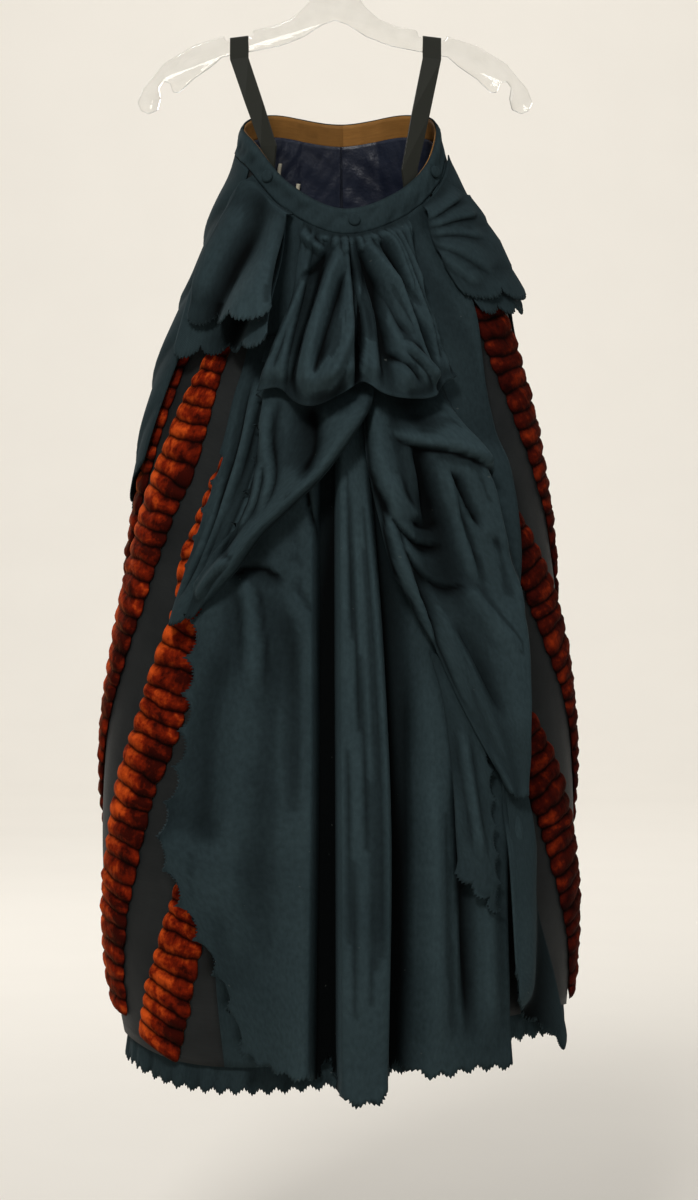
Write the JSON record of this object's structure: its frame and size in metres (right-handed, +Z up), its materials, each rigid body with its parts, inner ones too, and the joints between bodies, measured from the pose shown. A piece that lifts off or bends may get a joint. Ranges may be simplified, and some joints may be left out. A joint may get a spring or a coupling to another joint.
{
  "type": "skirt of a walking dress on a hanger",
  "caption": "Draped wool skirt of an 1880s walking dress with rust velvet bands, hung from a clear hanger by two tapes.",
  "frame": {"origin": "the point inside the hanger's hook that rests on a rod", "axes": "+Z up, -Y out of the draped back that the picture shows, +X to the viewer's right"},
  "size_m": [0.5242, 0.3821, 1.2473],
  "materials": {
    "wool": "matte",
    "silk": "satin",
    "velvet": "pile",
    "lining": "satin",
    "facing": "satin",
    "tape": "matte",
    "plastic": "clear",
    "wire": "polished"
  },
  "bodies": {
    "root": {"back_breadth": "wool", "back_pouf": "wool", "left_cascade": "wool", "under_cascade": "wool", "right_swag": "wool", "inner_tail": "wool", "side_tail": "wool", "left_flap": "wool", "left_flap_under": "wool", "right_flap": "wool", "right_flap_under": "wool", "front_apron": "wool", "skirt_back_gore": "wool", "hem_frill": "wool", "waistband": "wool", "button_left": "wool", "button_middle": "wool", "button_right": "wool", "skirt_front_gore": "silk", "skirt_left_gore": "silk", "skirt_right_gore": "silk", "velvet_left_1": "velvet", "velvet_left_2": "velvet", "velvet_left_3": "velvet", "velvet_left_4": "velvet", "velvet_right_1": "velvet", "velvet_right_2": "velvet", "velvet_right_3": "velvet", "lining": "lining", "waistband_facing": "facing", "tape_left": "tape", "tape_right": "tape", "hanger": "plastic", "hook": "wire"}
  },
  "joints": []
}
